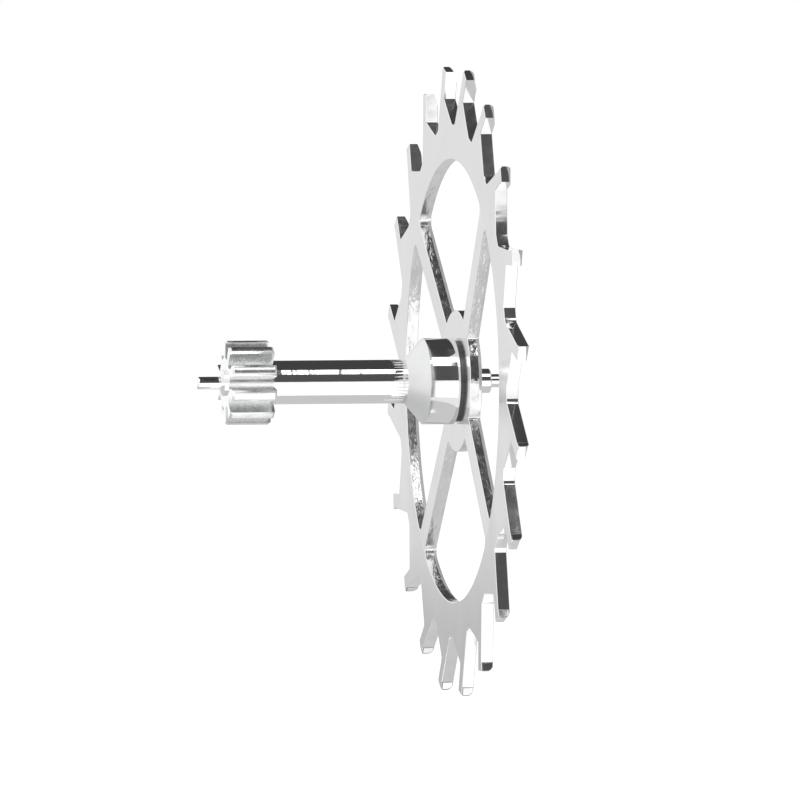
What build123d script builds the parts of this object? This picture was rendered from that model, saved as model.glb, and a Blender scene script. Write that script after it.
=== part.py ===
from build123d import *
import os
from math import asin, cos, degrees, radians, sin

# Escape wheel of a small mechanical watch, on its arbor.
# The arbor lies along Y with the pinion towards -Y, and Z is up.
# The origin is the centre of the wheel, halfway through the rim.
# All lengths are millimetres and all angles are degrees.

# Wheel blank
wheel_diameter = 4.50
wheel_thickness = 0.087
web_dish = 0.026            # how far the hub stands back from the rim
rim_width = 0.252
hub_diameter = 1.006
arm_count = 4
arm_width = 0.189
arm_turn = 3.0              # the arms' cross is turned this far from the diagonals
window_corner_radius = 0.058
hub_corner_radius = 0.018
cut_overrun = 0.05

# Club teeth
tooth_count = 20
tooth_turn = 6.9            # first heel, from the top towards -X
tooth_depth = 0.422         # heel circle down to the foot of a tooth's sloping back
heel_height = 0.063         # steep face between the heel and the sloping back
toe_drop = 0.048            # toe circle below the heel circle
lock_height = 0.183         # toe circle down to the inner corner of the locking face
gullet_drop = 0.004         # bend of the gullet below the foot circle
wall_middle_rise = 0.0878   # middle of the hollow wall under the locking face
heel_foot_share = 0.025     # places round one tooth's pitch, from its heel
foot_share = 0.391
gullet_share = 0.569
wall_middle_share = 0.7862
corner_share = 0.978
toe_share = 0.850
foot_round_radius = 0.060
gullet_round_radius = 0.040
tip_edge_break = 0.012      # small chamfer at the front of a tip
tip_land = 0.024            # thickness that keeps the full radius
tip_bevel_depth = 0.126     # how far the back of a tip is rounded off
bevel_bulge_share = 0.52    # depth and thickness at the middle of that rounding
bevel_middle_share = 0.62

# Arbor, from the pinion end to the rear pivot
pivot_diameter = 0.090
pivot_length = 0.167
pivot_rounding = 0.012
boss_diameter = 0.185
boss_length = 0.033
pinion_length = 0.324
shaft_diameter = 0.312
shaft_length = 0.977
cone_length = 0.134
collar_diameter = 0.614
collar_length = 0.240
seat_diameter = 0.360
seat_clearance = 0.002
rivet_diameter = 0.420
rivet_height = 0.012
shoulder_diameter = 0.174
shoulder_length = 0.148
shoulder_chamfer = 0.010
rear_pivot_diameter = 0.095
rear_pivot_length = 0.167

# Pinion leaves
leaf_count = 10
pinion_diameter = 0.598
pinion_root_diameter = 0.360
leaf_thickness = 0.080
leaf_shoulder_drop = 0.010  # where the leaf's flanks begin to round over
leaf_chamfer = 0.016

# Places that follow from the sizes
wheel_radius = wheel_diameter / 2
rim_front = -wheel_thickness / 2
rim_back = wheel_thickness / 2
hub_front = rim_front + web_dish
hub_back = rim_back + web_dish
foot_radius = wheel_radius - tooth_depth
rim_inner_radius = foot_radius - rim_width
hub_radius = hub_diameter / 2
tooth_pitch = 360 / tooth_count
heel_foot_radius = wheel_radius - heel_height
toe_radius = wheel_radius - toe_drop
corner_radius = toe_radius - lock_height
wall_middle_radius = foot_radius + wall_middle_rise
bore_radius = seat_diameter / 2 + seat_clearance

collar_front = hub_front - collar_length
cone_front = collar_front - cone_length
pinion_back = cone_front - shaft_length
pinion_front = pinion_back - pinion_length
boss_front = pinion_front - boss_length
front_tip = boss_front - pivot_length
rivet_back = hub_back + rivet_height
shoulder_back = rivet_back + shoulder_length
rear_tip = shoulder_back + rear_pivot_length


def polar(radius, angle):
    """A point of the wheel's plane: angle from the top, positive towards -X."""
    return (-radius * sin(radians(angle)), radius * cos(radians(angle)))


def axis_distance(vertex):
    """Distance of a sketch's vertex from the arbor's axis."""
    return (vertex.X**2 + vertex.Y**2) ** 0.5


def tooth_outline():
    """Heel face, back, gullet, hollow wall, undercut locking face and impulse face of every tooth."""
    for tooth in range(tooth_count):
        heel_angle = tooth_turn + tooth * tooth_pitch
        heel = polar(wheel_radius, heel_angle)
        heel_foot = polar(heel_foot_radius, heel_angle + heel_foot_share * tooth_pitch)
        foot = polar(foot_radius, heel_angle + foot_share * tooth_pitch)
        gullet = polar(foot_radius - gullet_drop, heel_angle + gullet_share * tooth_pitch)
        wall_middle = polar(wall_middle_radius, heel_angle + wall_middle_share * tooth_pitch)
        corner = polar(corner_radius, heel_angle + corner_share * tooth_pitch)
        toe = polar(toe_radius, heel_angle + toe_share * tooth_pitch)
        next_heel = polar(wheel_radius, heel_angle + tooth_pitch)
        Line(heel, heel_foot)
        Line(heel_foot, foot)
        Line(foot, gullet)
        ThreePointArc(gullet, wall_middle, corner)
        Line(corner, toe)
        Line(toe, next_heel)


def window_outline(middle_angle):
    """One window: rim arc, two arm edges and hub arc, with its outer corner angles."""
    half_pitch = 180 / arm_count
    rim_angle = half_pitch - degrees(asin(arm_width / 2 / rim_inner_radius))
    hub_angle = half_pitch - degrees(asin(arm_width / 2 / hub_radius))
    rim_left = polar(rim_inner_radius, middle_angle + rim_angle)
    rim_right = polar(rim_inner_radius, middle_angle - rim_angle)
    hub_left = polar(hub_radius, middle_angle + hub_angle)
    hub_right = polar(hub_radius, middle_angle - hub_angle)
    ThreePointArc(rim_left, polar(rim_inner_radius, middle_angle), rim_right)
    Line(rim_right, hub_right)
    ThreePointArc(hub_right, polar(hub_radius, middle_angle), hub_left)
    Line(hub_left, rim_left)


def build_escape_wheel():
    """Dished disc turned with rounded tips, then cut to teeth, windows and bore."""
    land_front = rim_front + tip_edge_break
    land_back = land_front + tip_land
    bevel_middle = (
        wheel_radius - bevel_bulge_share * tip_bevel_depth,
        land_back + bevel_middle_share * (rim_back - land_back),
    )
    with BuildPart() as wheel:
        with BuildSketch(Plane.XY):
            with BuildLine():
                Polyline(
                    (0, hub_back),
                    (0, hub_front),
                    (hub_radius, hub_front),
                    (rim_inner_radius, rim_front),
                    (wheel_radius - tip_edge_break, rim_front),
                    (wheel_radius, land_front),
                    (wheel_radius, land_back),
                )
                ThreePointArc(
                    (wheel_radius, land_back),
                    bevel_middle,
                    (wheel_radius - tip_bevel_depth, rim_back),
                )
                Polyline(
                    (wheel_radius - tip_bevel_depth, rim_back),
                    (rim_inner_radius, rim_back),
                    (hub_radius, hub_back),
                    (0, hub_back),
                )
            make_face()
        revolve(axis=Axis.Y)

        with BuildSketch(Plane.XZ.offset(-hub_back - cut_overrun)) as teeth:
            with BuildLine():
                tooth_outline()
            make_face()
            feet = teeth.vertices().sort_by(axis_distance)[tooth_count : 2 * tooth_count]
            fillet(feet, foot_round_radius)
            gullets = teeth.vertices().sort_by(axis_distance)[:tooth_count]
            fillet(gullets, gullet_round_radius)
        extrude(amount=hub_back - rim_front + 2 * cut_overrun, mode=Mode.INTERSECT)

        for window in range(arm_count):
            middle_angle = arm_turn + window * 360 / arm_count
            with BuildSketch(Plane.XZ.offset(-hub_back - cut_overrun)) as opening:
                with BuildLine():
                    window_outline(middle_angle)
                make_face()
                fillet(opening.vertices().sort_by(axis_distance)[-2:], window_corner_radius)
                fillet(opening.vertices().sort_by(axis_distance)[:2], hub_corner_radius)
            extrude(amount=hub_back - rim_front + 2 * cut_overrun, mode=Mode.SUBTRACT)

        with BuildSketch(Plane.XZ.offset(-hub_back - cut_overrun)):
            Circle(bore_radius)
        extrude(amount=hub_back - hub_front + 2 * cut_overrun, mode=Mode.SUBTRACT)
    return wheel


def leaf_outline():
    """Leaves with radial flanks and round tips, joined by the root circle."""
    root_radius = pinion_root_diameter / 2
    tip_radius = pinion_diameter / 2
    shoulder_radius = tip_radius - leaf_shoulder_drop
    half_leaf = degrees(asin(leaf_thickness / 2 / shoulder_radius))
    leaf_pitch = 360 / leaf_count
    for leaf in range(leaf_count):
        middle = leaf * leaf_pitch
        left_foot = polar(root_radius, middle - half_leaf)
        right_foot = polar(root_radius, middle + half_leaf)
        left_shoulder = polar(shoulder_radius, middle - half_leaf)
        right_shoulder = polar(shoulder_radius, middle + half_leaf)
        next_foot = polar(root_radius, middle + leaf_pitch - half_leaf)
        root_middle = polar(root_radius, middle + leaf_pitch / 2)
        Line(left_foot, left_shoulder)
        ThreePointArc(left_shoulder, polar(tip_radius, middle), right_shoulder)
        Line(right_shoulder, right_foot)
        ThreePointArc(right_foot, root_middle, next_foot)


def build_escape_arbor():
    """One steel bar: pinion leaves cut in it, the rest turned."""
    tip_radius = pinion_diameter / 2
    seat_radius = seat_diameter / 2
    with BuildPart() as arbor:
        with BuildSketch(Plane.XY):
            with BuildLine():
                Polyline(
                    (0, pinion_front),
                    (tip_radius - leaf_chamfer, pinion_front),
                    (tip_radius, pinion_front + leaf_chamfer),
                    (tip_radius, pinion_back - leaf_chamfer),
                    (tip_radius - leaf_chamfer, pinion_back),
                    (0, pinion_back),
                    close=True,
                )
            make_face()
        revolve(axis=Axis.Y)
        with BuildSketch(Plane.XZ.offset(-pinion_back - cut_overrun)):
            with BuildLine():
                leaf_outline()
            make_face()
        extrude(amount=pinion_length + 2 * cut_overrun, mode=Mode.INTERSECT)

        with BuildSketch(Plane.XY):
            with BuildLine():
                Polyline(
                    (0, rear_tip),
                    (0, front_tip),
                    (pivot_diameter / 2 - pivot_rounding, front_tip),
                    (pivot_diameter / 2, front_tip + pivot_rounding),
                    (pivot_diameter / 2, boss_front),
                    (boss_diameter / 2, boss_front + boss_length / 2),
                    (boss_diameter / 2, pinion_front),
                    (boss_diameter / 2, pinion_back - leaf_chamfer),
                    (shaft_diameter / 2, pinion_back - leaf_chamfer),
                    (shaft_diameter / 2, cone_front),
                    (collar_diameter / 2, collar_front),
                    (collar_diameter / 2, hub_front),
                    (seat_radius, hub_front),
                    (seat_radius, hub_back),
                    (rivet_diameter / 2, hub_back),
                    (rivet_diameter / 2, rivet_back),
                    (shoulder_diameter / 2, rivet_back),
                    (shoulder_diameter / 2, shoulder_back - shoulder_chamfer),
                    (shoulder_diameter / 2 - shoulder_chamfer, shoulder_back),
                    (rear_pivot_diameter / 2, shoulder_back),
                    (rear_pivot_diameter / 2, rear_tip - pivot_rounding),
                    (rear_pivot_diameter / 2 - pivot_rounding, rear_tip),
                    close=True,
                )
            make_face()
        revolve(axis=Axis.Y)
    return arbor


os.makedirs("parts", exist_ok=True)

escape_wheel = build_escape_wheel()
escape_wheel.part.label = "escape_wheel"
export_step(escape_wheel.part, "parts/escape_wheel.step")

escape_arbor = build_escape_arbor()
escape_arbor.part.label = "escape_arbor"
export_step(escape_arbor.part, "parts/escape_arbor.step")
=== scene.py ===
import bmesh
import bpy
import numpy as np
from mathutils import Matrix, Vector


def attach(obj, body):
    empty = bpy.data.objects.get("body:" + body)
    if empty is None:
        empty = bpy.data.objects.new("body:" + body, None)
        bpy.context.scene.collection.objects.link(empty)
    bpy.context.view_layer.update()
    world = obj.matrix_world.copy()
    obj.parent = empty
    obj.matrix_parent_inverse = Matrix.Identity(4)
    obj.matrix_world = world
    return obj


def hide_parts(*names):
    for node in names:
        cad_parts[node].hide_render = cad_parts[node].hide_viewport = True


# Escape wheel of a small mechanical watch on its arbor, in a white studio.
# The arbor lies along Y with the pinion towards -Y, and Z is up.
# Sizes are millimetres and angles degrees, and a mesh takes them to metres.
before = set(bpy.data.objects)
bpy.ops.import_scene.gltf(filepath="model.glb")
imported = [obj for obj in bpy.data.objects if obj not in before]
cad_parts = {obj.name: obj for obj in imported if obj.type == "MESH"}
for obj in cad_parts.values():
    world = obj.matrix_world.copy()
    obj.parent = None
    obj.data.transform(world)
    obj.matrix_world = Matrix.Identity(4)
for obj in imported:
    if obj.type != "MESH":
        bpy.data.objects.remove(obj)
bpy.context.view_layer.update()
MM = 0.001

# Wheel blank
wheel_radius = 2.25
wheel_thickness = 0.087
web_dish = 0.026
rim_width = 0.252
hub_radius = 0.503
bore_radius = 0.182
arm_count = 4
arm_width = 0.189
arm_turn = 3.0
window_corner_radius = 0.058
hub_corner_radius = 0.018
edge_break = 0.004
window_draft = 0.004
draft_start = 0.020

# Club teeth, with places round one tooth's pitch counted from its heel
tooth_count = 20
tooth_turn = 6.9
tooth_depth = 0.422
heel_height = 0.063
toe_drop = 0.048
lock_height = 0.183
gullet_drop = 0.004
wall_middle_rise = 0.0878
foot_round_radius = 0.060
gullet_round_radius = 0.020
heel_foot_share = 0.025
foot_share = 0.391
gullet_share = 0.569
wall_middle_share = 0.7862
corner_share = 0.978
toe_share = 0.850
tip_edge_break = 0.012
tip_land = 0.024
tip_bevel_depth = 0.126
bevel_bulge_share = 0.52
bevel_middle_share = 0.62
heel_round_depth = 0.055
heel_round_height = 0.046
rim_root_depth = 0.056      # circle below the foot circle where the clubs' grid begins

# Steps along one tooth's outline, from one locking face's corner to the next
lock_steps = 12
impulse_steps = 10
search_steps = 200
shortest_part = 0.06        # least share of the impulse face on either side of its cut
wall_foot_parts = 5         # the hollow wall's first part, which the gullet's round leans on
heel_places = (0, 0.12, 0.5, 0.88)
back_steps = 10
foot_round_steps = 8
gullet_steps = 2
gullet_round_steps = 8
hollow_steps = 6
heel_column = lock_steps + impulse_steps
heel_end_column = heel_column + len(heel_places)
club_columns = heel_end_column + 6
crossing_shares = (0.04, 0.30, 0.45, 0.50, 0.96)
crossing_shrink = 0.99
slope_rows = 13

# Steps along the windows' outlines
hub_arc_steps = 48
hub_round_steps = 6
rim_round_steps = 12
arm_side_steps = 16

# Arbor, from the pinion end to the rear pivot
pivot_radius = 0.045
pivot_length = 0.167
boss_radius = 0.0925
boss_length = 0.033
pinion_length = 0.324
shaft_radius = 0.156
shaft_length = 0.977
cone_length = 0.134
collar_radius = 0.307
collar_length = 0.240
seat_radius = 0.180
rivet_radius = 0.210
rivet_height = 0.012
shoulder_radius = 0.087
shoulder_length = 0.148
shoulder_chamfer = 0.010
rear_pivot_radius = 0.0475
rear_pivot_length = 0.167
turned_edge = 0.005
turned_edge_rows = 5
pivot_edge = 0.012
guard_share = 1.2           # a row this many edge lengths from a corner keeps the flat part flat
groove_width = 0.024
groove_depth = 0.020

# Pinion leaves
leaf_count = 10
pinion_radius = 0.299
pinion_root_radius = 0.180
leaf_thickness = 0.080
leaf_shoulder_drop = 0.010
leaf_chamfer = 0.016
leaf_tip_steps = 8
leaf_side_steps = 5

# Finishes, by their number in each piece's list
(face_finish, wall_finish, edge_finish, window_finish,
 hub_finish, draft_finish, heel_painted_shade_finish) = range(7)
polished_finish, cone_finish, leaf_finish, shaft_finish, groove_painted_shade_finish = range(5)

# Mesh: points nearer than the first are one, and edges shorter than the second go, in metres
same_place = 5e-9
no_length = 1e-10
smooth_below = 30

# Places that follow from the sizes
rim_front = -wheel_thickness / 2
rim_back = wheel_thickness / 2
hub_front = rim_front + web_dish
hub_back = rim_back + web_dish
foot_radius = wheel_radius - tooth_depth
rim_inner_radius = foot_radius - rim_width
rim_root_radius = foot_radius - rim_root_depth
tooth_pitch = 360 / tooth_count
arm_pitch = 360 / arm_count
collar_front = hub_front - collar_length
cone_front = collar_front - cone_length
pinion_back = cone_front - shaft_length
pinion_front = pinion_back - pinion_length
boss_front = pinion_front - boss_length
front_tip = boss_front - pivot_length
rivet_back = hub_back + rivet_height
shoulder_back = rivet_back + shoulder_length
rear_tip = shoulder_back + rear_pivot_length


# Points and curves in the wheel's plane
def polar(radius, angle):
    """Plane points: minus radius times sine, radius times cosine, from the top towards -X."""
    radius, angle = np.broadcast_arrays(radius, np.radians(angle))
    return np.stack([-radius * np.sin(angle), radius * np.cos(angle)], axis=-1)


def straight(start, end, steps):
    """Points at equal shares of a straight line, without its end."""
    share = np.arange(steps)[:, None] / steps
    return start + (end - start) * share


def circle_through(first, middle, last):
    """Centre and radius of the circle through three points, from their equal distances."""
    sides = 2 * np.array([middle - first, last - first])
    squares = np.array([middle @ middle - first @ first, last @ last - first @ first])
    centre = np.linalg.solve(sides, squares)
    return centre, np.linalg.norm(first - centre)


def arc(centre, start, end, steps):
    """Points at equal turns about a centre on the shorter arc, without its end."""
    first = start - centre
    last = end - centre
    turn = np.arctan2(first[0] * last[1] - first[1] * last[0], first @ last)
    angle = turn * np.arange(steps) / steps
    across = np.array([-first[1], first[0]])
    return centre + np.outer(np.cos(angle), first) + np.outer(np.sin(angle), across)


def unit(way):
    """A direction of length one."""
    return way / np.linalg.norm(way)


def round_off(before, corner, after, radius, steps):
    """Arc that touches both sides of a corner, its centre on the line that halves the corner."""
    back = unit(before - corner)
    ahead = unit(after - corner)
    half = np.arccos(back @ ahead) / 2
    centre = corner + unit(back + ahead) * radius / np.sin(half)
    reach = radius / np.tan(half)
    end = corner + ahead * reach
    return arc(centre, corner + back * reach, end, steps), end


def circle_crossing(start, end, radius):
    """Where a line from start to end first meets a circle about the axis: a quadratic's root."""
    way = end - start
    half = start @ way / (way @ way)
    rest = (start @ start - radius**2) / (way @ way)
    root = np.sqrt(half**2 - rest)
    near = min((share for share in (-half - root, -half + root) if share > 0), default=0)
    return start + way * near


# Escape wheel
def tip_radii_at(height):
    """Largest radius at a height: a circle's arc at a tip's toe, a quarter ellipse at its heel."""
    land_front = rim_front + tip_edge_break
    land_back = land_front + tip_land
    start = np.array([wheel_radius, land_back])
    middle_height = land_back + bevel_middle_share * (rim_back - land_back)
    middle = np.array([wheel_radius - bevel_bulge_share * tip_bevel_depth, middle_height])
    end = np.array([wheel_radius - tip_bevel_depth, rim_back])
    centre, radius = circle_through(start, middle, end)
    front_cut = wheel_radius - max(land_front - height, 0)
    toe_end = centre[0] + np.sqrt(radius**2 - (max(height, land_back) - centre[1]) ** 2)
    share = max(height - rim_back + heel_round_height, 0) / heel_round_height
    heel_end = wheel_radius - heel_round_depth * (1 - np.sqrt(1 - share**2))
    return min(front_cut, toe_end), min(front_cut, heel_end)


def tooth_path(toe_limit, heel_limit):
    """One tooth's outline of lines and arcs, its tip cut down to a radius at the toe and the heel.

    Between the two the limit runs evenly, and the count of points is always the same.
    """
    corner = polar(wheel_radius - toe_drop - lock_height, (corner_share - 1) * tooth_pitch)
    toe = polar(wheel_radius - toe_drop, (toe_share - 1) * tooth_pitch)
    heel = polar(wheel_radius, 0)
    heel_foot = polar(wheel_radius - heel_height, heel_foot_share * tooth_pitch)
    foot = polar(foot_radius, foot_share * tooth_pitch)
    gullet = polar(foot_radius - gullet_drop, gullet_share * tooth_pitch)
    next_corner = polar(wheel_radius - toe_drop - lock_height, corner_share * tooth_pitch)
    foot_round, foot_end = round_off(
        heel_foot, foot, gullet, foot_round_radius, foot_round_steps)
    wall_middle = polar(foot_radius + wall_middle_rise, wall_middle_share * tooth_pitch)
    hollow, _ = circle_through(gullet, wall_middle, next_corner)
    wall_foot = arc(hollow, gullet, wall_middle, wall_foot_parts)[1]
    gullet_round, gullet_end = round_off(
        foot, gullet, wall_foot, gullet_round_radius, gullet_round_steps)

    # The impulse face runs to where it meets the rounded edge, and that edge from there on.
    across = np.array([heel[1] - toe[1], toe[0] - heel[0]])
    toe_is_cut = toe_limit < wheel_radius - toe_drop
    heel_is_cut = heel_limit < wheel_radius
    toe_cut = circle_crossing(corner, toe, toe_limit) if toe_is_cut else toe
    heel_cut = circle_crossing(heel_foot, heel, heel_limit) if heel_is_cut else heel
    first, last = (np.degrees(np.arctan2(-end[0], end[1])) for end in (toe_cut, heel_cut))
    share = np.linspace(0, 1, search_steps + 1)
    rays = polar(1.0, first + (last - first) * share)
    above = across @ heel / (rays @ across) > toe_limit + (heel_limit - toe_limit) * share
    meeting = share[above.argmax()] if above.any() else 1
    meeting = 0.5 if above[0] else np.clip(meeting, shortest_part, 1 - shortest_part)
    half_steps = impulse_steps // 2
    steps = np.arange(half_steps) / half_steps
    share = np.concatenate([meeting * steps, meeting + (1 - meeting) * steps])
    rays = polar(1.0, first + (last - first) * share)
    face_radius = across @ heel / (rays @ across)
    edge_radius = toe_limit + (heel_limit - toe_limit) * share
    return np.concatenate([
        straight(corner, toe_cut, lock_steps),
        rays * np.minimum(face_radius, edge_radius)[:, None],
        heel_cut + (heel_foot - heel_cut) * np.array(heel_places)[:, None],
        straight(heel_foot, foot_round[0], back_steps),
        foot_round,
        straight(foot_end, gullet_round[0], gullet_steps),
        gullet_round,
        arc(hollow, gullet_end, next_corner, hollow_steps),
    ])


def round_the_wheel(path):
    """One tooth's points turned by each tooth's angle and strung together."""
    turn = np.radians(tooth_turn + np.arange(tooth_count) * tooth_pitch)[:, None]
    across = path[:, 0] * np.cos(turn) - path[:, 1] * np.sin(turn)
    upward = path[:, 0] * np.sin(turn) + path[:, 1] * np.cos(turn)
    return np.stack([across.ravel(), upward.ravel()], axis=-1)


def drawn_in(outline, distance):
    """A closed outline moved to its left by a distance, along the mitre of its two edges."""
    ahead = np.roll(outline, -1, axis=0) - outline
    ahead /= np.linalg.norm(ahead, axis=1)[:, None]
    left = np.stack([-ahead[:, 1], ahead[:, 0]], axis=-1)
    both = left + np.roll(left, 1, axis=0)
    mitre = both / np.maximum(0.5, (both * both).sum(axis=1) / 2)[:, None]
    return outline + mitre * distance


def face_rows(outline):
    """Angle of each column's root on the rim, and a row across each club from corner to back."""
    teeth = outline.reshape(tooth_count, -1, 2)
    columns = np.arange(club_columns)
    ends = [0, lock_steps, heel_column, heel_end_column, club_columns - 1]
    share = np.interp(columns, ends, crossing_shares)
    corner = teeth[:, :1]
    opposite = teeth[:, club_columns - 1:club_columns]
    crossing = (corner + (opposite - corner) * share[:, None]) * crossing_shrink
    rising = np.concatenate([crossing, teeth[:, club_columns:]], axis=1)
    heel = tooth_turn + np.arange(tooth_count)[:, None] * tooth_pitch
    angle = np.degrees(np.arctan2(-rising[..., 0], rising[..., 1])) - heel
    angle = heel + (angle + 180) % 360 - 180
    halfway = (rising + polar(rim_root_radius, angle)) / 2
    middle = np.concatenate([crossing, halfway[:, club_columns:]], axis=1)
    return angle.ravel(), middle.reshape(-1, 2)


def arm_side(inset):
    """Radius and half angle down one arm's side: rim round, straight side, hub round."""
    half_width = arm_width / 2
    rim_along = np.sqrt(
        (rim_inner_radius - window_corner_radius) ** 2 - (half_width + window_corner_radius) ** 2
    )
    hub_along = np.sqrt(
        (hub_radius + hub_corner_radius) ** 2 - (half_width + hub_corner_radius) ** 2
    )
    hub_turn = np.arctan2(half_width + hub_corner_radius, hub_along)
    rim_turn = np.arctan2(half_width + window_corner_radius, rim_along)
    hub_angle = np.linspace(0, np.pi / 2 - hub_turn, hub_round_steps)
    hub_round = hub_corner_radius + inset
    hub_away = half_width + hub_corner_radius - hub_round * np.sin(hub_turn + hub_angle)
    hub_up = hub_along - hub_round * np.cos(hub_turn + hub_angle)
    rim_angle = np.linspace(0, np.pi / 2 + rim_turn, rim_round_steps)
    rim_round = window_corner_radius + inset
    rim_away = half_width + window_corner_radius - rim_round * np.cos(rim_angle)
    rim_up = rim_along + rim_round * np.sin(rim_angle)
    side_up = np.linspace(hub_along, rim_along, arm_side_steps)[1:-1]
    side_away = np.full(side_up.shape, half_width - inset)
    away = np.concatenate([hub_away, side_away, rim_away])
    upward = np.concatenate([hub_up, side_up, rim_up])
    return np.hypot(away, upward), np.degrees(np.arctan2(away, upward))


def dish(radius):
    """How far the web stands back: all of it at the hub, then falling evenly to the rim."""
    share = (rim_inner_radius - radius) / (rim_inner_radius - hub_radius)
    return web_dish * np.clip(share, 0, 1)


def level(radius, angle, face):
    """Points on the front or back face, at the face's height and the dish of their radius."""
    plane = polar(radius, angle)
    height = np.broadcast_to(face + dish(radius), plane.shape[:-1])
    return np.stack([plane[..., 0], height, plane[..., 1]], axis=-1)


def lifted(plane, height):
    """Plane points at one height through the thickness."""
    return np.stack([plane[..., 0], np.full(plane.shape[:-1], height), plane[..., 1]], axis=-1)


def window_loop(inset, rim_steps, middle):
    """Radius and angle round one window: rim arc, arm side, hub arc and the next arm's side."""
    side_radius, side_angle = arm_side(inset)
    rim_ends = (middle + side_angle[-1], middle + arm_pitch - side_angle[-1])
    hub_ends = (middle + arm_pitch - side_angle[0], middle + side_angle[0])
    rim_arc = np.linspace(*rim_ends, rim_steps + 1)[:-1]
    hub_arc = np.linspace(*hub_ends, hub_arc_steps + 1)[1:-1]
    angle = [rim_arc, middle + arm_pitch - side_angle[::-1], hub_arc, middle + side_angle[:-1]]
    radius = [
        np.full(rim_arc.shape, rim_inner_radius + inset),
        side_radius[::-1],
        np.full(hub_arc.shape, hub_radius - inset),
        side_radius[:-1],
    ]
    return np.concatenate(radius), np.concatenate(angle)


def make_escape_wheel():
    """Grids that share their edge rows: hub, arms, rim with teeth, and every wall."""
    land_back = rim_front + tip_edge_break + tip_land
    heights = np.array([
        rim_front,
        rim_front + edge_break,
        rim_front + tip_edge_break,
        *np.linspace(land_back, rim_back - edge_break, slope_rows),
        rim_back,
    ])
    outlines = [round_the_wheel(tooth_path(*tip_radii_at(height))) for height in heights]
    outlines[0] = drawn_in(outlines[0], edge_break)
    outlines[-1] = drawn_in(outlines[-1], edge_break)

    # A heel face's four borders carry painted shade: a darker tone than the wall inside them, with
    # a rougher gloss.
    wall_strips = len(heights) - 3
    one_tooth = np.full((wall_strips, len(outlines[0]) // tooth_count), wall_finish)
    one_tooth[:, [heel_column, heel_end_column - 1]] = heel_painted_shade_finish
    one_tooth[[0, -1], heel_column:heel_end_column] = heel_painted_shade_finish
    rows = [lifted(outline, height) for outline, height in zip(outlines, heights)]
    patches = [
        (np.stack(rows[:2]), True, edge_finish),
        (np.stack(rows[1:-1]), True, np.tile(one_tooth, tooth_count)),
        (np.stack(rows[-2:]), True, edge_finish),
    ]

    # The rim's inner circle gives each arm's end as many steps as the arm has across.
    base, _ = face_rows(outlines[0])
    quarter = len(base) // arm_count
    arm_middle = arm_turn + arm_pitch / 2
    rim_half = arm_side(edge_break)[1][-1]
    first_step = int(np.searchsorted(base, arm_middle - rim_half))
    arm_steps = int(np.searchsorted(base, arm_middle + rim_half)) - first_step
    quarters = np.arange(-1, arm_count + 1)[:, None]
    known_steps = (first_step + quarters * quarter + np.array([0, arm_steps])).ravel()
    across = np.linspace(-1, 1, arm_steps + 1)
    bore_rings = []
    for face, inset, outline in (
        (rim_front, edge_break, outlines[0]),
        (rim_back, window_draft + edge_break, outlines[-1]),
    ):
        side_radius, side_angle = arm_side(inset)
        arm_ends = np.array([-side_angle[-1], side_angle[-1]])
        known_angles = (arm_middle + quarters * arm_pitch + arm_ends).ravel()
        rim_ring = np.interp(np.arange(quarter * arm_count), known_steps, known_angles)
        patches.append((np.stack([
            level(rim_inner_radius + inset, rim_ring, face),
            level(rim_root_radius, base, face),
            lifted(face_rows(outline)[1], face),
            lifted(outline, face),
        ]), True, face_finish))
        window_steps = np.linspace(
            side_angle[0], arm_pitch - side_angle[0], hub_arc_steps + 1)[:-1]
        hub_quarter = np.concatenate([across[:-1] * side_angle[0], window_steps])
        quarter_turns = np.arange(arm_count)[:, None] * arm_pitch
        hub_ring = arm_middle + (quarter_turns + hub_quarter).ravel()
        hub_middle = (bore_radius + hub_radius) / 2
        hub_rows = np.array([bore_radius + edge_break, hub_middle, hub_radius - inset])
        patches.append((level(hub_rows[:, None], hub_ring[None, :], face), True, face_finish))
        for arm in range(arm_count):
            angle = arm_middle + arm * arm_pitch + side_angle[:, None] * across[None, :]
            patches.append((level(side_radius[:, None], angle, face), False, face_finish))
        bore_rings.append(hub_ring)

    bore_rows = [
        level(bore_radius + edge_break, bore_rings[0], rim_front),
        level(bore_radius, bore_rings[0], rim_front + edge_break),
        level(bore_radius, bore_rings[1], rim_back - edge_break),
        level(bore_radius + edge_break, bore_rings[1], rim_back),
    ]
    for i, finish in enumerate((edge_finish, wall_finish, edge_finish)):
        patches.append((np.stack(bore_rows[i:i + 2]), True, finish))

    # Each window's wall stands square to the middle of the web, then opens out to the back.
    wall_rows = (
        (rim_front, edge_break),
        (rim_front + edge_break, 0),
        (draft_start, 0),
        (rim_back - edge_break, window_draft),
        (rim_back, window_draft + edge_break),
    )
    for arm in range(arm_count):
        middle = arm_middle + arm * arm_pitch
        loops = [window_loop(inset, quarter - arm_steps, middle) for _, inset in wall_rows]
        rows = [level(*loop, height) for loop, (height, _) in zip(loops, wall_rows)]
        front_finish = np.where(loops[1][0] > hub_radius, window_finish, hub_finish)
        for i, finish in enumerate((edge_finish, front_finish, draft_finish, edge_finish)):
            patches.append((np.stack(rows[i:i + 2]), True, finish))
    return patches


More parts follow.
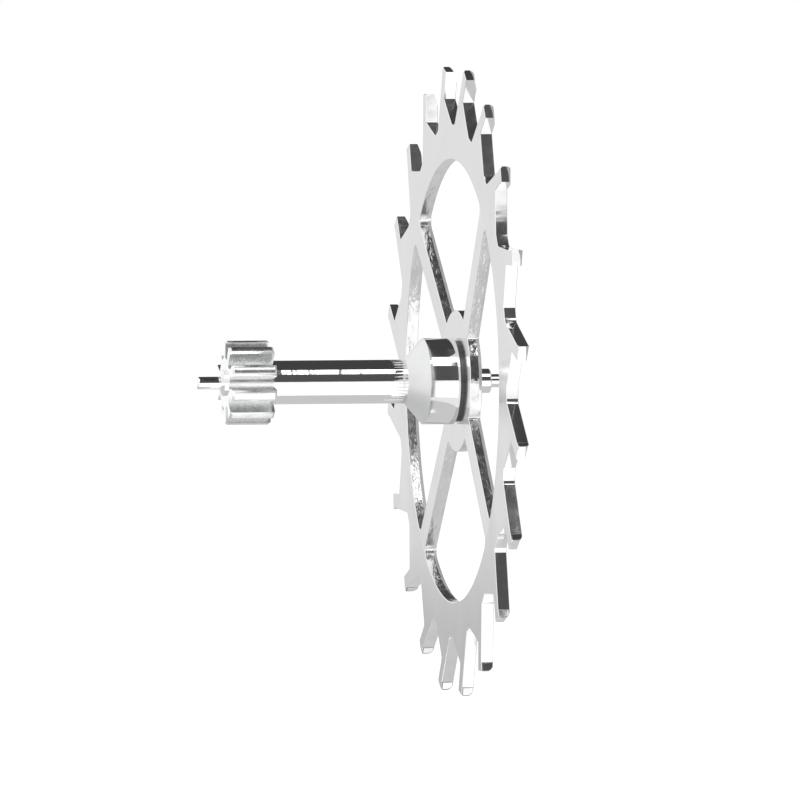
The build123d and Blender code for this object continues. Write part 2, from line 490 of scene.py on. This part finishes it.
# Escape arbor
def leaf_ring():
    """Radius and angle round the pinion: root arc, radial flank, round tip, flank, root arc."""
    shoulder = pinion_radius - leaf_shoulder_drop
    half_leaf = np.degrees(np.arcsin(leaf_thickness / 2 / shoulder))
    half_pitch = 180 / leaf_count
    left = polar(shoulder, half_leaf)
    right = polar(shoulder, -half_leaf)
    centre, _ = circle_through(right, polar(pinion_radius, 0), left)
    tip = arc(centre, right, left, leaf_tip_steps)
    root = np.arange(leaf_side_steps) / leaf_side_steps * (half_pitch - half_leaf)
    flank_height = shoulder - pinion_root_radius
    flank = pinion_root_radius + flank_height * np.arange(leaf_side_steps) / leaf_side_steps
    flank_angle = np.full(leaf_side_steps, half_leaf)
    angle = np.concatenate([
        -half_pitch + root,
        -flank_angle,
        np.degrees(np.arctan2(-tip[:, 0], tip[:, 1])),
        flank_angle,
        half_leaf + root,
    ])
    radius = np.concatenate([
        np.full(leaf_side_steps, pinion_root_radius),
        flank,
        np.hypot(tip[:, 0], tip[:, 1]),
        flank[::-1] + flank_height / leaf_side_steps,
        np.full(leaf_side_steps, pinion_root_radius),
    ])
    turns = np.arange(leaf_count)[:, None] * 2 * half_pitch
    return np.tile(radius, leaf_count), (angle + turns).ravel()


def turned(corners):
    """A lathe profile of length and radius, each corner a parabola as long as its third number."""
    corners = np.array(corners)
    places = corners[:, :2]
    rows = [places[:1]]
    share = np.linspace(0, 1, turned_edge_rows)[:, None]
    for before, here, after, size in zip(places, places[1:], places[2:], corners[1:-1, 2]):
        if size == 0:
            rows.append(here[None, :])
            continue
        back = unit(before - here)
        ahead = unit(after - here)
        bend = (1 - share) ** 2 * back * size + share**2 * ahead * size
        rows.append(here + back[None, :] * size * guard_share)
        rows.append(here + bend)
        rows.append(here + ahead[None, :] * size * guard_share)
    rows.append(places[-1:])
    return np.concatenate(rows)


def lathe(profile, steps):
    """Rings of a profile: each radius swung round the axis at its length."""
    angle = np.arange(steps) / steps * 360 - 180 / leaf_count
    plane = polar(profile[:, 1][:, None], angle[None, :])
    height = np.broadcast_to(profile[:, 0][:, None], plane.shape[:-1])
    return np.stack([plane[..., 0], height, plane[..., 1]], axis=-1)


def make_escape_arbor():
    """One bar as stacked rings: turned front, leaves, turned shaft, cone, collar and rear."""
    leaf_radius, leaf_angle = leaf_ring()
    steps = len(leaf_angle)
    front = lathe(turned([
        (front_tip, 0, 0),
        (front_tip, pivot_radius, pivot_edge),
        (boss_front, pivot_radius, 0),
        (boss_front + boss_length / 2, boss_radius, turned_edge),
        (pinion_front, boss_radius, 0),
    ]), steps)
    leaf_rows = [
        (pinion_front, pinion_radius - leaf_chamfer),
        (pinion_front + leaf_chamfer, pinion_radius),
        (pinion_back - leaf_chamfer, pinion_radius),
        (pinion_back, pinion_radius - leaf_chamfer),
    ]
    leaves = np.stack([
        lifted(polar(np.minimum(leaf_radius, limit), leaf_angle), height)
        for height, limit in leaf_rows
    ])
    shaft = lathe(turned([
        (pinion_back, shaft_radius, 0),
        (cone_front, shaft_radius, 0),
    ]), steps)
    cone = lathe(turned([
        (cone_front, shaft_radius, 0),
        (collar_front, collar_radius, 0),
    ]), steps)
    groove_front = hub_front - groove_width
    groove_radius = collar_radius - groove_depth
    collar = lathe(turned([
        (collar_front, collar_radius, 0),
        (groove_front, collar_radius, turned_edge),
        (groove_front, groove_radius, 0),
    ]), steps)
    groove = lathe(turned([
        (groove_front, groove_radius, 0),
        (hub_front, groove_radius, 0),
    ]), steps)
    rear = lathe(turned([
        (hub_front, groove_radius, 0),
        (hub_front, seat_radius, 0),
        (hub_back, seat_radius, 0),
        (hub_back, rivet_radius, turned_edge),
        (rivet_back, rivet_radius, turned_edge),
        (rivet_back, shoulder_radius, 0),
        (shoulder_back, shoulder_radius, shoulder_chamfer),
        (shoulder_back, rear_pivot_radius, 0),
        (rear_tip, rear_pivot_radius, pivot_edge),
        (rear_tip, 0, 0),
    ]), steps)
    return [
        (np.concatenate([front, leaves[:1]]), True, polished_finish),
        (leaves, True, leaf_finish),
        (np.concatenate([leaves[-1:], shaft[:1]]), True, leaf_finish),
        (shaft, True, shaft_finish),
        (cone, True, cone_finish),
        (collar, True, polished_finish),
        (groove, True, groove_painted_shade_finish),
        (rear, True, polished_finish),
    ]


# Meshes
def grid_faces(rows, columns, closed):
    """Quads between neighbouring rows and columns, joined round the end where closed."""
    row = np.arange(rows - 1)[:, None]
    column = np.arange(columns if closed else columns - 1)[None, :]
    after = (column + 1) % columns
    corners = [row * columns + column, row * columns + after,
               (row + 1) * columns + after, (row + 1) * columns + column]
    return np.stack(np.broadcast_arrays(*corners), axis=-1).reshape(-1, 4)


def sharpen_borders(mesh):
    """Edges marked sharp where the highest and lowest finish beside them differ."""
    corner_edge = np.empty(len(mesh.loops), dtype=np.int32)
    mesh.loops.foreach_get("edge_index", corner_edge)
    corners = np.empty(len(mesh.polygons), dtype=np.int32)
    mesh.polygons.foreach_get("loop_total", corners)
    finish = np.empty(len(mesh.polygons), dtype=np.int32)
    mesh.polygons.foreach_get("material_index", finish)
    corner_finish = np.repeat(finish, corners)
    highest = np.zeros(len(mesh.edges), dtype=np.int32)
    np.maximum.at(highest, corner_edge, corner_finish)
    lowest = highest.copy()
    np.minimum.at(lowest, corner_edge, corner_finish)
    sharp = np.empty(len(mesh.edges), dtype=bool)
    mesh.edges.foreach_get("use_edge_sharp", sharp)
    mesh.edges.foreach_set("use_edge_sharp", sharp | (highest != lowest))


def make_piece(name, patches, materials):
    """One closed mesh from grids whose shared edge rows are merged, smooth below an angle."""
    places = []
    faces = []
    finishes = []
    count = 0
    for points, closed, finish in patches:
        rows, columns = points.shape[:2]
        quads = grid_faces(rows, columns, closed)
        places.append(points.reshape(-1, 3) * MM)
        faces.append(quads + count)
        finishes.append(np.broadcast_to(finish, (rows - 1, len(quads) // (rows - 1))).ravel())
        count += rows * columns
    mesh = bpy.data.meshes.new(name)
    mesh.from_pydata(np.concatenate(places).tolist(), [], np.concatenate(faces).tolist())
    for material in materials:
        mesh.materials.append(material)
    mesh.polygons.foreach_set("material_index", np.concatenate(finishes))
    shell = bmesh.new()
    shell.from_mesh(mesh)
    bmesh.ops.remove_doubles(shell, verts=shell.verts, dist=same_place)
    bmesh.ops.dissolve_degenerate(shell, edges=shell.edges, dist=no_length)
    bmesh.ops.recalc_face_normals(shell, faces=shell.faces)
    shell.to_mesh(mesh)
    shell.free()
    mesh.shade_smooth()
    mesh.set_sharp_from_angle(angle=np.radians(smooth_below))
    sharpen_borders(mesh)
    piece = bpy.data.objects.new(name, mesh)
    bpy.context.scene.collection.objects.link(piece)
    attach(piece, "root")
    return piece


# Finishes
steel_tint = (0.995, 1.0, 1.0)
gloss_fineness = 2.3
noise_low = 0.3
noise_high = 0.7


def add_node(material, kind, **settings):
    """A node of one kind in a material, with its settings."""
    node = material.node_tree.nodes.new(kind)
    for name, value in settings.items():
        setattr(node, name, value)
    return node


def grain(material, counts, detail, sharpness):
    """Noise laid on the metal itself, with this many grains a millimetre along X, Y and Z."""
    links = material.node_tree.links
    place = add_node(material, "ShaderNodeTexCoord")
    stretch = add_node(material, "ShaderNodeMapping")
    stretch.inputs["Scale"].default_value = np.array(counts) / MM
    noise = add_node(material, "ShaderNodeTexNoise")
    noise.inputs["Scale"].default_value = 1
    noise.inputs["Detail"].default_value = detail
    noise.inputs["Roughness"].default_value = sharpness
    links.new(place.outputs["Object"], stretch.inputs["Vector"])
    links.new(stretch.outputs["Vector"], noise.inputs["Vector"])
    return noise.outputs["Fac"]


def spread(material, value, low, high):
    """A noise's middle range stretched to run from low to high."""
    span = add_node(material, "ShaderNodeMapRange")
    span.inputs["From Min"].default_value = noise_low
    span.inputs["From Max"].default_value = noise_high
    span.inputs["To Min"].default_value = low
    span.inputs["To Max"].default_value = high
    material.node_tree.links.new(value, span.inputs["Value"])
    return span.outputs["Result"]


def steel(name, tones, roughness, mottle, waves, height):
    """Bare steel: mottled tone, finer mottled gloss, and a relief of the tool that cut it."""
    material = bpy.data.materials.new(name)
    material.use_nodes = True
    links = material.node_tree.links
    shader = material.node_tree.nodes["Principled BSDF"]
    shader.inputs["Metallic"].default_value = 1
    tone_grain = grain(material, [mottle] * 3, detail=4, sharpness=0.6)
    tone = spread(material, tone_grain, *tones)
    colour = add_node(material, "ShaderNodeVectorMath", operation="SCALE")
    colour.inputs[0].default_value = steel_tint
    links.new(tone, colour.inputs["Scale"])
    links.new(colour.outputs["Vector"], shader.inputs["Base Color"])
    gloss_grain = grain(material, [mottle * gloss_fineness] * 3, detail=3, sharpness=0.5)
    gloss = spread(material, gloss_grain, *roughness)
    links.new(gloss, shader.inputs["Roughness"])
    relief = add_node(material, "ShaderNodeBump")
    relief.inputs["Distance"].default_value = height * MM
    links.new(grain(material, waves, detail=2, sharpness=0.5), relief.inputs["Height"])
    links.new(relief.outputs["Normal"], shader.inputs["Normal"])
    return material


# Each finish: tones, roughness, mottles a millimetre, tool marks a millimetre, their height
wheel_steels = [
    steel("wheel_face_fine_lapped", (0.585, 0.625), (0.14, 0.20), 1.2, (18, 18, 60), 0.00008),
    steel("wheel_wall_milled", (0.84, 0.94), (0.05, 0.12), 6, (9, 4, 9), 0.0009),
    steel("wheel_worn_edge", (0.84, 0.95), (0.14, 0.26), 8, (12, 12, 12), 0.0004),
    steel("wheel_window_filed", (0.78, 0.92), (0.10, 0.24), 6, (14, 30, 14), 0.0050),
    steel("wheel_hub_wall_rough", (0.55, 0.92), (0.06, 0.16), 14, (16, 16, 16), 0.0030),
    steel("wheel_window_torn", (0.74, 0.92), (0.12, 0.28), 8, (14, 26, 14), 0.0035),
    # The heel edge's dark tones are painted shade along the heel face's borders; its roughness is
    # the steel's own.
    steel("wheel_heel_edge_painted_shade", (0.30, 0.45), (0.30, 0.45), 8, (12, 12, 12), 0.0004),
]
arbor_steels = [
    steel("arbor_polished", (0.88, 0.93), (0.03, 0.07), 3, (3, 10, 3), 0.0002),
    steel("arbor_cone_satin", (0.78, 0.86), (0.34, 0.42), 4, (2, 60, 2), 0.0003),
    steel("pinion_leaf_satin", (0.84, 0.92), (0.20, 0.30), 6, (10, 4, 10), 0.0004),
    steel("arbor_shaft_polished", (0.88, 0.93), (0.03, 0.06), 3, (2, 8, 2), 0.0016),
    # The groove's near-black tones are painted shade in the groove at the collar's foot; its
    # roughness is the steel's own.
    steel("arbor_groove_painted_shade", (0.08, 0.16), (0.35, 0.50), 8, (12, 12, 12), 0.0010),
]

wheel = make_piece("wheel_of_twenty_teeth", make_escape_wheel(), wheel_steels)
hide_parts("escape_wheel")
arbor = make_piece("arbor_with_pinion", make_escape_arbor(), arbor_steels)
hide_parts("escape_arbor")


# Studio, where a turn goes about the arbor's line from the camera's side upwards
floor_height = -3.0
floor_half_width = 4000.0
floor_colour = 0.8
floor_glow = 0.5
world_colour = 0.8
world_strength = 0.85
low_card_height = -2.95
tip_card_height = -2.94
lamp_distance = 58
lamp_way = (0.588, 0, 0.809)
lamp_width = 120
lamp_depth = 29
lamp_radiance = 1.5
front_card_radius = 56
top_card_radius = 60
small_card_radius = 3.4
beside_card_height = 1.6
behind_card_place = 9
behind_card_half_width = 25
behind_card_height = 25
far_length = 120
card_turn_rows = 25
card_length_rows = 3
near_black = 0.03
dark_grey = 0.055
dark = 0.085
softer_dark = 0.10
middle_grey = 0.45
floor_shade_grey = 0.62

# Camera, whose picture is 800 pixels square
picture_width = 800
wheel_middle_across = 457.9
wheel_middle_down = 381.0
pixels_a_mm = 140.67
camera_distance = 160.0
camera_azimuth = 78.04
camera_elevation = 0.85
camera_roll = 0.30


def add_stage(name, points, faces, material):
    """A studio sheet between millimetre points, with its material."""
    mesh = bpy.data.meshes.new(name)
    mesh.from_pydata((np.asarray(points, dtype=float) * MM).tolist(), [], faces)
    mesh.materials.append(material)
    sheet = bpy.data.objects.new(name, mesh)
    bpy.context.scene.collection.objects.link(sheet)
    return sheet


def matt_material(name, colour, glow):
    """A matt material of one grey that glows with another, and its shader."""
    material = bpy.data.materials.new(name)
    material.use_nodes = True
    shader = material.node_tree.nodes["Principled BSDF"]
    shader.inputs["Base Color"].default_value = (colour, colour, colour, 1)
    shader.inputs["Roughness"].default_value = 1
    shader.inputs["Specular IOR Level"].default_value = 0
    shader.inputs["Emission Color"].default_value = (glow, glow, glow, 1)
    shader.inputs["Emission Strength"].default_value = 1
    return material, shader


def looked_at(tree):
    """One for camera, glossy and transmission rays, and zero for those that light the object."""
    rays = tree.nodes.new("ShaderNodeLightPath")
    seen = rays.outputs["Is Camera Ray"]
    for kind in ("Is Glossy Ray", "Is Transmission Ray"):
        either = tree.nodes.new("ShaderNodeMath")
        either.operation = "MAXIMUM"
        tree.links.new(seen, either.inputs[0])
        tree.links.new(rays.outputs[kind], either.inputs[1])
        seen = either.outputs[0]
    return seen


def make_floor():
    """A flat square below the wheel, white where nothing shades it."""
    material, shader = matt_material("studio_floor_white", floor_colour, 1)
    tree = material.node_tree
    glow = tree.nodes.new("ShaderNodeMath")
    glow.operation = "MULTIPLY"
    glow.inputs[1].default_value = floor_glow
    tree.links.new(looked_at(tree), glow.inputs[0])
    tree.links.new(glow.outputs[0], shader.inputs["Emission Strength"])
    half = floor_half_width
    corners = at_height([(-half, -half), (half, -half), (half, half), (-half, half)], floor_height)
    add_stage("studio_floor", corners, [(0, 1, 2, 3)], material)


def make_world():
    """White for what looks at it, and a plain level for what it lights."""
    world = bpy.data.worlds.new("studio_white")
    world.use_nodes = True
    bpy.context.scene.world = world
    tree = world.node_tree
    tree.nodes.clear()
    lighting = tree.nodes.new("ShaderNodeBackground")
    lighting.inputs["Color"].default_value = (world_colour, world_colour, world_colour, 1)
    lighting.inputs["Strength"].default_value = world_strength
    shown = tree.nodes.new("ShaderNodeBackground")
    shown.inputs["Color"].default_value = (1, 1, 1, 1)
    shown.inputs["Strength"].default_value = 1
    choose = tree.nodes.new("ShaderNodeMixShader")
    tree.links.new(looked_at(tree), choose.inputs[0])
    tree.links.new(lighting.outputs[0], choose.inputs[1])
    tree.links.new(shown.outputs[0], choose.inputs[2])
    output = tree.nodes.new("ShaderNodeOutputWorld")
    tree.links.new(choose.outputs[0], output.inputs["Surface"])


def make_lamp():
    """A wide soft lamp, high on the camera's side, that faces the wheel's middle."""
    lamp = bpy.data.lights.new("high_soft_lamp", "AREA")
    lamp.shape = "RECTANGLE"
    lamp.size = lamp_width * MM
    lamp.size_y = lamp_depth * MM
    lamp.energy = lamp_radiance * np.pi * lamp.size * lamp.size_y
    holder = bpy.data.objects.new("high_soft_lamp", lamp)
    way = Vector(lamp_way).normalized()
    turn = way.to_track_quat("Z", "Y").to_matrix().to_4x4()
    holder.matrix_world = Matrix.Translation(way * lamp_distance * MM) @ turn
    holder.visible_camera = False
    bpy.context.scene.collection.objects.link(holder)


def at_height(outline, height):
    """Points across and along the arbor, put at one height."""
    return [(across, along, height) for across, along in outline]


def hide_from_light(card):
    """A card is seen by reflections alone, so it lights and shades nothing."""
    card.visible_camera = False
    card.visible_diffuse = False
    card.visible_shadow = False


def make_flat_card(name, corners, tone):
    """A flat sheet between corners."""
    material, _ = matt_material(name, 0, tone)
    hide_from_light(add_stage(name, corners, [range(len(corners))], material))


def make_bent_card(name, turns, lengths, radius, tone):
    """A sheet at one radius from the arbor's line: the grid of its turns by its lengths."""
    turn = np.radians(np.linspace(*turns, card_turn_rows))[:, None]
    length = np.linspace(*lengths, card_length_rows)[None, :]
    turn, length = np.broadcast_arrays(turn, length)
    points = np.stack([radius * np.cos(turn), length, radius * np.sin(turn)], axis=-1)
    material, _ = matt_material(name, 0, tone)
    faces = grid_faces(*turn.shape, False).tolist()
    card = add_stage(name, points.reshape(-1, 3), faces, material)
    card.data.shade_smooth()
    hide_from_light(card)


def make_cards():
    """Cards seen only in the steel's reflections: dark and grey studio cards, small dark sheets
    close to the wheel that paint shade into the reflections of the gullets, the teeth and the hub,
    and a grey sheet below, with a white one on it, that paints the floor's shade.
    """
    make_bent_card("dark_card_in_front", (2.4, 42.5), (-3, far_length), front_card_radius, dark)
    # Small dark sheets close to the wheel are painted shade in the reflections of the gullets,
    # beside the teeth and round the hub.
    make_bent_card("painted_shade_by_gullets", (30, 65), (0.20, 0.40), small_card_radius, dark)
    make_flat_card("painted_shade_beside_teeth", at_height(
        [(2.55, 0.46), (3.4, 0.46), (3.4, 0.70), (2.55, 0.70)], beside_card_height), dark)
    make_bent_card("dark_bar_left", (42, 68), (6.0, 10.25), front_card_radius, near_black)
    make_bent_card("painted_shade_round_hub", (8, 92), (0.56, 0.70), small_card_radius, softer_dark)
    make_bent_card("dark_card_above", (67, 168), (-3, far_length), top_card_radius, dark_grey)
    # The card below is painted shade of the floor beneath the object, seen only in reflections.
    # Two notches in it leave white floor for the pinion and the teeth to reflect.
    pinion_notch = (-1.2, -0.8)
    teeth_notch = (0.12, 0.36)
    make_flat_card("painted_floor_shade_card", at_height([
        (-70, -30),
        (1.0, -30),
        (1.0, pinion_notch[0]),
        (-1.6, pinion_notch[0]),
        (-1.6, pinion_notch[1]),
        (1.0, pinion_notch[1]),
        (1.0, teeth_notch[0]),
        (0.05, teeth_notch[0]),
        (0.05, teeth_notch[1]),
        (2.4, teeth_notch[1]),
        (2.4, 8),
        (-70, 8),
    ], low_card_height), floor_shade_grey)
    make_flat_card("white_card_below_tip", at_height(
        [(-1.3, 0.1), (-0.9, 0.1), (-0.9, 0.32), (-1.3, 0.32)], tip_card_height), 1.0)
    half = behind_card_half_width
    make_flat_card("grey_card_behind", [
        (-half, behind_card_place, low_card_height),
        (half, behind_card_place, low_card_height),
        (half, behind_card_place, behind_card_height),
        (-half, behind_card_place, behind_card_height),
    ], middle_grey)


def make_camera():
    """The photograph's view: nearly side on, from a little in front and just above."""
    azimuth, elevation, roll = np.radians([camera_azimuth, camera_elevation, camera_roll])
    back = Vector((
        np.sin(azimuth) * np.cos(elevation),
        -np.cos(azimuth) * np.cos(elevation),
        np.sin(elevation),
    ))
    level_right = Vector((np.cos(azimuth), np.sin(azimuth), 0))
    level_up = back.cross(level_right)
    right = level_right * np.cos(roll) - level_up * np.sin(roll)
    upward = back.cross(right)
    across = (picture_width / 2 - wheel_middle_across) / pixels_a_mm
    up = (wheel_middle_down - picture_width / 2) / pixels_a_mm
    aim = right * across + upward * up
    lens = bpy.data.cameras.new("studio_camera")
    lens.sensor_width = 36
    lens.lens = pixels_a_mm * camera_distance / picture_width * lens.sensor_width
    lens.clip_start = 0.001
    lens.clip_end = 10
    camera = bpy.data.objects.new("studio_camera", lens)
    turn = Matrix((right, upward, back)).transposed().to_4x4()
    camera.matrix_world = Matrix.Translation((aim + back * camera_distance) * MM) @ turn
    bpy.context.scene.collection.objects.link(camera)
    bpy.context.scene.camera = camera


make_floor()
make_world()
make_lamp()
make_cards()
make_camera()
bpy.context.scene.view_settings.view_transform = "Standard"
